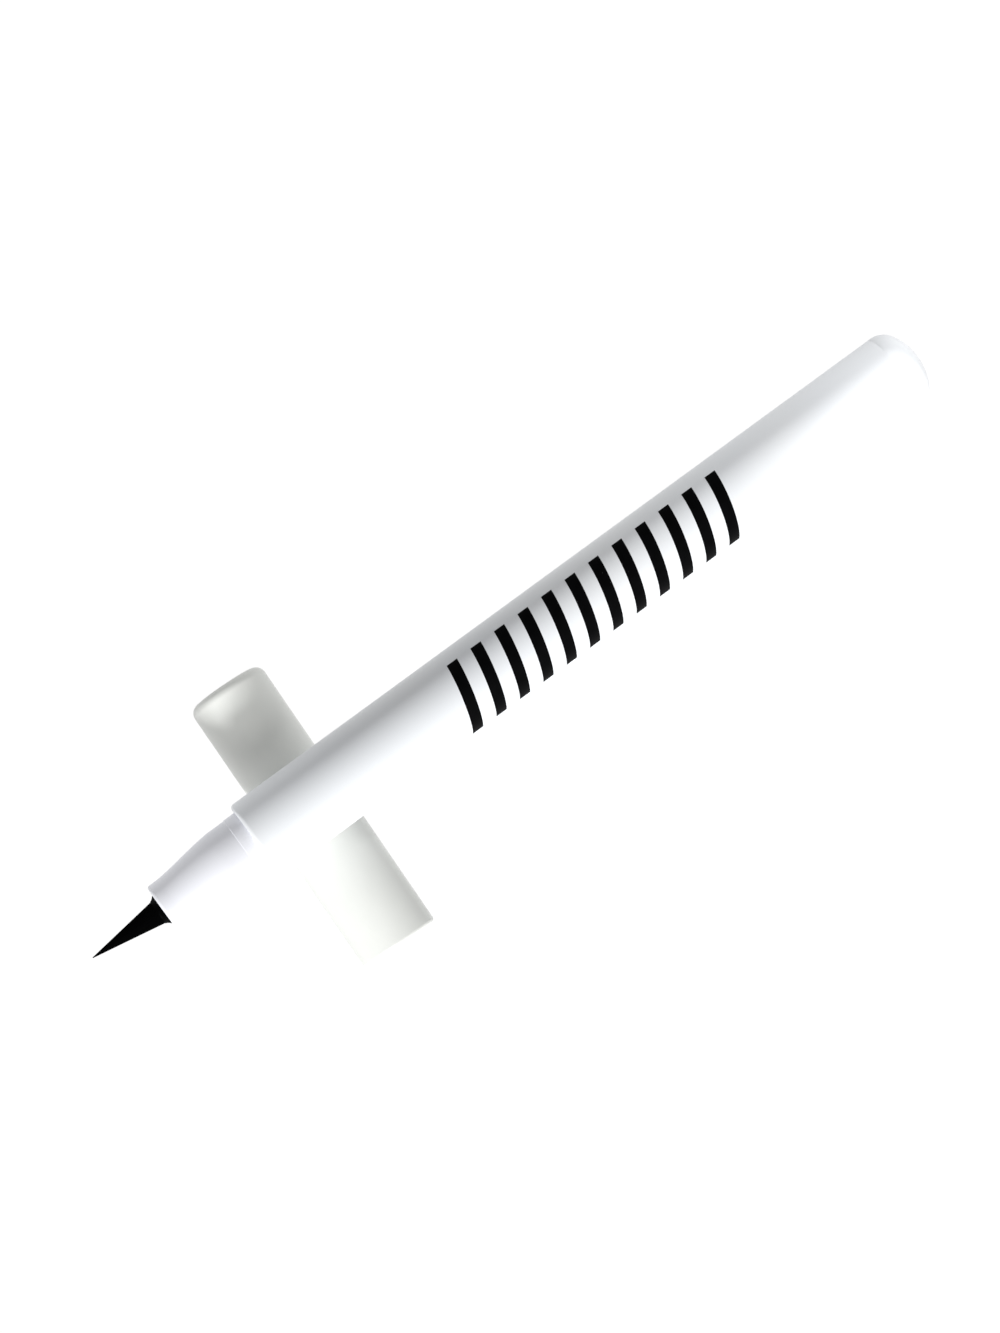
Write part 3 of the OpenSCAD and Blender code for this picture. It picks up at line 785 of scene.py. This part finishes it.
class EYELINER_OT_neck(bpy.types.Operator):
    """Model the front section: its land, its taper and its blunt nose, with the spigot inside"""
    bl_idname = "eyeliner.neck"
    bl_label = "Neck"

    def execute(self, context):
        s = context.scene.eyeliner_pen
        f = context.scene.eyeliner_finishes
        spigot = BARREL_R - s.wall - s.press
        chamber = spigot - s.spigot_wall
        neck = LAND_R - s.land_step
        bore = s.sleeve_r + s.press
        taper_z = NECK_Z - s.nose
        seat_z = NECK_Z - s.sleeve_in
        flange_r = FLANGE_R + s.press
        flange_z = seat_z - s.flange
        outline = [(spigot, SPIGOT_Z), (spigot, 0), (LAND_R, 0), (LAND_R, s.land),
                   (neck, s.land + s.land_step)]
        for i in range(DOME_STEPS + 1):
            t = i / DOME_STEPS
            outline.append((neck + (s.nose_r - neck) * eased(t),
                            STRAIGHT_Z + (taper_z - STRAIGHT_Z) * t))
        outline += [(s.nose_r, NECK_Z), (bore, NECK_Z), (bore, seat_z), (flange_r, seat_z),
                    (flange_r, flange_z), (chamber, flange_z - (chamber - flange_r)),
                    (chamber, SPIGOT_Z)]
        piece = turned("neck_front", outline)
        round_edge(piece, s.nose_r, NECK_Z, s.nose_round)
        round_edge(piece, LAND_R, s.land, s.land_edge, EDGE_STEPS)
        round_edge(piece, bore, NECK_Z, s.nose_bore, EDGE_STEPS)
        lay(piece, PEN, "pen", "neck_white", "neck")
        dress(piece, satin_moulding("neck_white", f, f.neck, PEN,
                                    [(0, s.land), (NECK_Z - 0.5 * MM, NECK_Z)], f.neck_cool))
        return {"FINISHED"}


class EYELINER_OT_sleeve(bpy.types.Operator):
    """Model the black sleeve: its flared end, its flange, and the flutes that let air in"""
    bl_idname = "eyeliner.sleeve"
    bl_label = "Nib sleeve"

    def execute(self, context):
        s = context.scene.eyeliner_pen
        f = context.scene.eyeliner_finishes
        bore = s.nib_r - s.nib_shank + s.press
        lip = s.nib_r + s.lip
        seat_z = NECK_Z - s.sleeve_in
        foot = NECK_Z + s.foot
        outline = [(bore, SLEEVE_Z), (bore, FLANGE_Z), (FLANGE_R, FLANGE_Z), (FLANGE_R, seat_z),
                   (s.sleeve_r, seat_z)]
        for i in range(DOME_STEPS + 1):
            t = i / DOME_STEPS
            outline.append((lip + (s.sleeve_r - lip) * (1 - t) ** FLARE,
                            foot + (SLEEVE_Z - foot) * t))
        piece = turned("nib_collar", outline)
        floor = s.sleeve_r - s.vent_depth
        for i in range(FLUTES):
            angle = math.tau * (i + 1) / FLUTES
            way = Vector((math.cos(angle), math.sin(angle), 0))

            def in_flute(v, way=way):
                flat = Vector((v.co.x, v.co.y, 0))
                beside = (flat - way * flat.dot(way)).length
                return (flat.dot(way) > 0 and flat.length > floor + WELD
                        and v.co.z > seat_z - WELD and beside < s.vent / 2)

            pick(piece, in_flute)
            mesh = bmesh.from_edit_mesh(piece.data)
            for v in mesh.verts:
                if v.select:
                    v.co.xy = v.co.xy.normalized() * floor
            bmesh.update_edit_mesh(piece.data)
        lay(piece, PEN, "pen", "sleeve_black", "nib_sleeve")
        dress(piece, black_moulding("sleeve_black", f, PEN))
        return {"FINISHED"}


class EYELINER_OT_nib(bpy.types.Operator):
    """Model the pointed nib: bundles of fibres ground to a point, with a slight lean"""
    bl_idname = "eyeliner.nib"
    bl_label = "Nib"

    def execute(self, context):
        s = context.scene.eyeliner_pen
        f = context.scene.eyeliner_finishes
        shank = s.nib_r - s.nib_shank
        root, tip = SLEEVE_Z, POINT_Z - s.point
        outline = [(0, SHANK_Z), (shank, SHANK_Z), (shank, root)]
        for i in range(NIB_STEPS + 1):
            t = i / NIB_STEPS
            outline.append((s.nib_r - (s.nib_r - s.point) * t, root + (tip - root) * t))
        outline += arc((0, tip), s.point, 0, math.pi / 2, POINT_STEPS)[1:-1]
        outline += [(0, POINT_Z)]
        piece = turned("nib_fibres", outline, NIB_SIDES)
        for step, share_of in GROOVES:
            def on_column(v, step=step):
                column = round(math.atan2(v.co.y, v.co.x) / math.tau * NIB_SIDES) % NIB_SIDES
                return v.co.z > root + WELD and column % step == 0
            pick(piece, on_column)
            by = 1 - s.fibre * share_of
            bpy.ops.transform.resize(value=(by, by, 1), center_override=(0, 0, 0))
        pick(piece, lambda v: v.co.z > root + WELD)
        bpy.ops.transform.rotate(value=-s.lean, orient_axis="X", center_override=(0, 0, root))
        lay(piece, PEN, "pen", "nib_black", "nib")
        dress(piece, inked_fibre("nib_black", f, PEN))
        return {"FINISHED"}


class EYELINER_OT_cap(bpy.types.Operator):
    """Model the cap: its rounded closed end, its mouth, and the boss for the spring inside"""
    bl_idname = "eyeliner.cap"
    bl_label = "Cap"

    def execute(self, context):
        s = context.scene.eyeliner_cap
        f = context.scene.eyeliner_finishes
        deep = MOUTH_R - s.step
        step_z = s.lead + MOUTH_DEPTH
        floor_z = CAP_Z - s.end_wall
        boss_z = floor_z - s.boss
        gate_z = CAP_Z - s.gate_depth
        outline = [(0, gate_z), (s.gate * s.gate_floor, gate_z), (s.gate, CAP_Z),
                   (CAP_R, CAP_Z), (CAP_R, MOUTH_Z), (MOUTH_R + s.lead, MOUTH_Z),
                   (MOUTH_R, s.lead), (MOUTH_R, step_z), (deep, step_z), (deep, floor_z),
                   (s.boss_r, floor_z), (s.boss_r, boss_z), (0, boss_z)]
        piece = turned("cap_body", outline)
        round_edge(piece, CAP_R, CAP_Z, s.end_round, CAP_END_STEPS)
        round_edge(piece, CAP_R, MOUTH_Z, s.rim_round)
        round_edge(piece, deep, floor_z, s.end_round - (CAP_R - MOUTH_R), CAP_FLOOR_STEPS)
        round_edge(piece, s.boss_r, boss_z, s.boss_round, BOSS_STEPS)
        lay(piece, CAP, "cap", "cap_white", "cap_shell")
        dress(piece, satin_moulding("cap_white", f, f.cap, CAP,
                                    [(0, 0.8 * MM), (CAP_Z - 1.5 * MM, CAP_Z)]))
        return {"FINISHED"}


class EYELINER_OT_spring(bpy.types.Operator):
    """Wind the round wire of the inner cap's spring, at its length at rest. It does not shorten
    here as the inner cap goes in.
    """
    bl_idname = "eyeliner.spring"
    bl_label = "Inner cap's spring"

    def execute(self, context):
        s = context.scene.eyeliner_cap
        f = context.scene.eyeliner_finishes
        start, stop = COIL_Z + s.wire / 2, COIL_END_Z - s.wire / 2
        begin()
        bpy.ops.mesh.primitive_circle_add(
            vertices=WIRE_SIDES, radius=s.wire / 2, location=(COIL_R - s.wire / 2, 0, start),
            rotation=(math.pi / 2, 0, 0))
        piece = bpy.context.object
        piece.name = piece.data.name = "coiled_spring"
        bpy.ops.object.transform_apply(location=True, rotation=True)
        coil = piece.modifiers.new("coil", "SCREW")
        coil.iterations = s.turns
        coil.steps = coil.render_steps = WIRE_STEPS
        coil.screw_offset = (stop - start) / s.turns
        bpy.ops.object.modifier_apply(modifier=coil.name)
        bpy.ops.object.mode_set(mode="EDIT")
        mesh = bmesh.from_edit_mesh(piece.data)
        last = len(mesh.verts) - WIRE_SIDES
        for v in mesh.verts:
            along = (v.index // WIRE_SIDES) / (last / WIRE_SIDES)
            v.co.z -= s.crowding * (stop - start) * math.sin(math.tau * along) / math.tau
        bmesh.update_edit_mesh(piece.data)
        for first in (0, last):
            pick(piece, lambda v, first=first: first <= v.index < first + WIRE_SIDES)
            bpy.ops.mesh.edge_face_add()
        lay(piece, CAP, "cap", "steel", "cap_spring")
        dress(piece, drawn_steel("spring_steel", f, CAP, f.spring))
        floor_z = CAP_Z - s.end_wall
        1 - STROKE / (floor_z - COIL_Z)
        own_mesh(piece)
        return {"FINISHED"}


class EYELINER_OT_inside(bpy.types.Operator):
    """Finish the pieces inside the pen and the cap, whose shapes come from the frame"""
    bl_idname = "eyeliner.inside"
    bl_label = "Inner pieces"

    def execute(self, context):
        f = context.scene.eyeliner_finishes
        nodes = frame["nodes"]
        dress(nodes["collector"], natural_moulding("collector_plastic", f, PEN, f.comb_stain))
        dress(nodes["feed_wick"], wick_fibre("wick_fibre", f, PEN))
        dress(nodes["mixing_ball"], drawn_steel("ball_steel", f, PEN, f.ball))
        for name in ("inner_cap", "inner_cap_retainer"):
            dress(nodes[name], natural_moulding(name + "_white", f, CAP, f.cap_stain))
        dress(nodes["inner_cap_gasket"], soft_seal("gasket_rubber", f, CAP))
        for name in ("tail_seal_ring", "neck_seal_ring", "collector_seal_ring"):
            dress(nodes[name], soft_seal(name + "_rubber", f, PEN))
        return {"FINISHED"}


class EYELINER_OT_stage(bpy.types.Operator):
    """Set the pale floor, the soft lights, and the camera at the photograph's angle"""
    bl_idname = "eyeliner.stage"
    bl_label = "Floor, lights and camera"

    def execute(self, context):
        s = context.scene.eyeliner_stage
        begin()
        bpy.ops.mesh.primitive_plane_add(size=s.floor_size, location=(0, 0, -s.floor_drop))
        floor = bpy.context.object
        floor.name = "floor"
        bpy.ops.object.transform_apply(location=True)
        bpy.ops.object.mode_set(mode="EDIT")
        bpy.ops.mesh.bevel(offset=s.floor_corner, segments=FLOOR_STEPS, affect="VERTICES")
        bpy.ops.object.mode_set(mode="OBJECT")
        # The floor glows with a painted light of its own, in a pool round the pen
        dress(floor, glowing_floor("floor_painted_glow", s))

        key = self.light("key", "AREA", KEY_WAY * s.key_distance, Vector(), s.key_power)
        key.data.size = s.key_size
        tail, nose = PEN @ Vector((0, 0, TAIL_Z)), PEN @ Vector((0, 0, NECK_Z))
        cap_end = CAP @ Vector((0, 0, CAP_Z - s.cap_aim)) + UP * CAP_R
        for name, place, aim, strength, cone in (
                ("tail light", tail + TAIL_LIGHT, PEN @ Vector((0, 0, TAIL_Z * s.aim)),
                 s.tail_power, s.pen_cone),
                ("nib light", nose + NIB_LIGHT, PEN @ Vector((0, 0, NECK_Z * s.aim)),
                 s.nib_power, s.pen_cone),
                ("cap light", cap_end + CAP_LIGHT, cap_end, s.cap_power, s.cap_cone)):
            spot = self.light(name, "SPOT", place, aim, strength)
            spot.visible_camera = False
            spot.data.spot_size = cone
            spot.data.spot_blend = 1.0
        world = bpy.data.worlds.new("studio")
        context.scene.world = world
        world.use_nodes = True
        world.node_tree.nodes["Background"].inputs["Color"].default_value = (1, 1, 1, 1)
        world.node_tree.nodes["Background"].inputs["Strength"].default_value = s.sky

        bpy.ops.object.camera_add(location=CAMERA_PLACE, rotation=CAMERA_TURN)
        camera = bpy.context.object
        camera.name = "camera"
        camera.data.sensor_width = SENSOR
        camera.data.lens = s.lens
        camera.data.clip_start, camera.data.clip_end = CAMERA_CLIP
        context.scene.camera = camera
        context.scene.view_settings.view_transform = "Standard"
        return {"FINISHED"}

    def light(self, name, kind, place, aim, strength):
        """A light at one place, aimed at another."""
        begin()
        look = (aim - place).to_track_quat("-Z", "Y").to_euler()
        bpy.ops.object.light_add(type=kind, location=place, rotation=look)
        made = bpy.context.object
        made.name = name
        made.data.energy = strength
        return made


class VIEW3D_PT_eyeliner(bpy.types.Panel):
    """Pieces and settings of the eyeliner pen"""
    bl_idname = "VIEW3D_PT_eyeliner"
    bl_label = "Liquid eyeliner pen"
    bl_space_type = "VIEW_3D"
    bl_region_type = "UI"
    bl_category = "Eyeliner"

    def draw(self, context):
        for operator in OPERATORS:
            self.layout.operator(operator.bl_idname)
        for name in GROUPS:
            group = getattr(context.scene, name)
            box = self.layout.box()
            box.label(text=group.bl_rna.description)
            for key in type(group).__annotations__:
                box.prop(group, key)


OPERATORS = (EYELINER_OT_barrel, EYELINER_OT_tail, EYELINER_OT_print, EYELINER_OT_neck,
             EYELINER_OT_sleeve, EYELINER_OT_nib, EYELINER_OT_cap, EYELINER_OT_spring,
             EYELINER_OT_inside, EYELINER_OT_stage)
GROUPS = {"eyeliner_pen": PenSizes, "eyeliner_cap": CapSizes, "eyeliner_print": PrintSizes,
          "eyeliner_finishes": Finishes, "eyeliner_stage": StageLight}


def register():
    for group in GROUPS.values():
        bpy.utils.register_class(group)
    for name, group in GROUPS.items():
        setattr(bpy.types.Scene, name, PointerProperty(type=group))
    for operator in OPERATORS:
        bpy.utils.register_class(operator)
    bpy.utils.register_class(VIEW3D_PT_eyeliner)


def unregister():
    bpy.utils.unregister_class(VIEW3D_PT_eyeliner)
    for operator in reversed(OPERATORS):
        bpy.utils.unregister_class(operator)
    for name in GROUPS:
        delattr(bpy.types.Scene, name)
    for group in reversed(GROUPS.values()):
        bpy.utils.unregister_class(group)


def main():
    register()
    for operator in OPERATORS:
        group, name = operator.bl_idname.split(".")
        getattr(getattr(bpy.ops, group), name)()


if __name__ == "__main__":
    main()
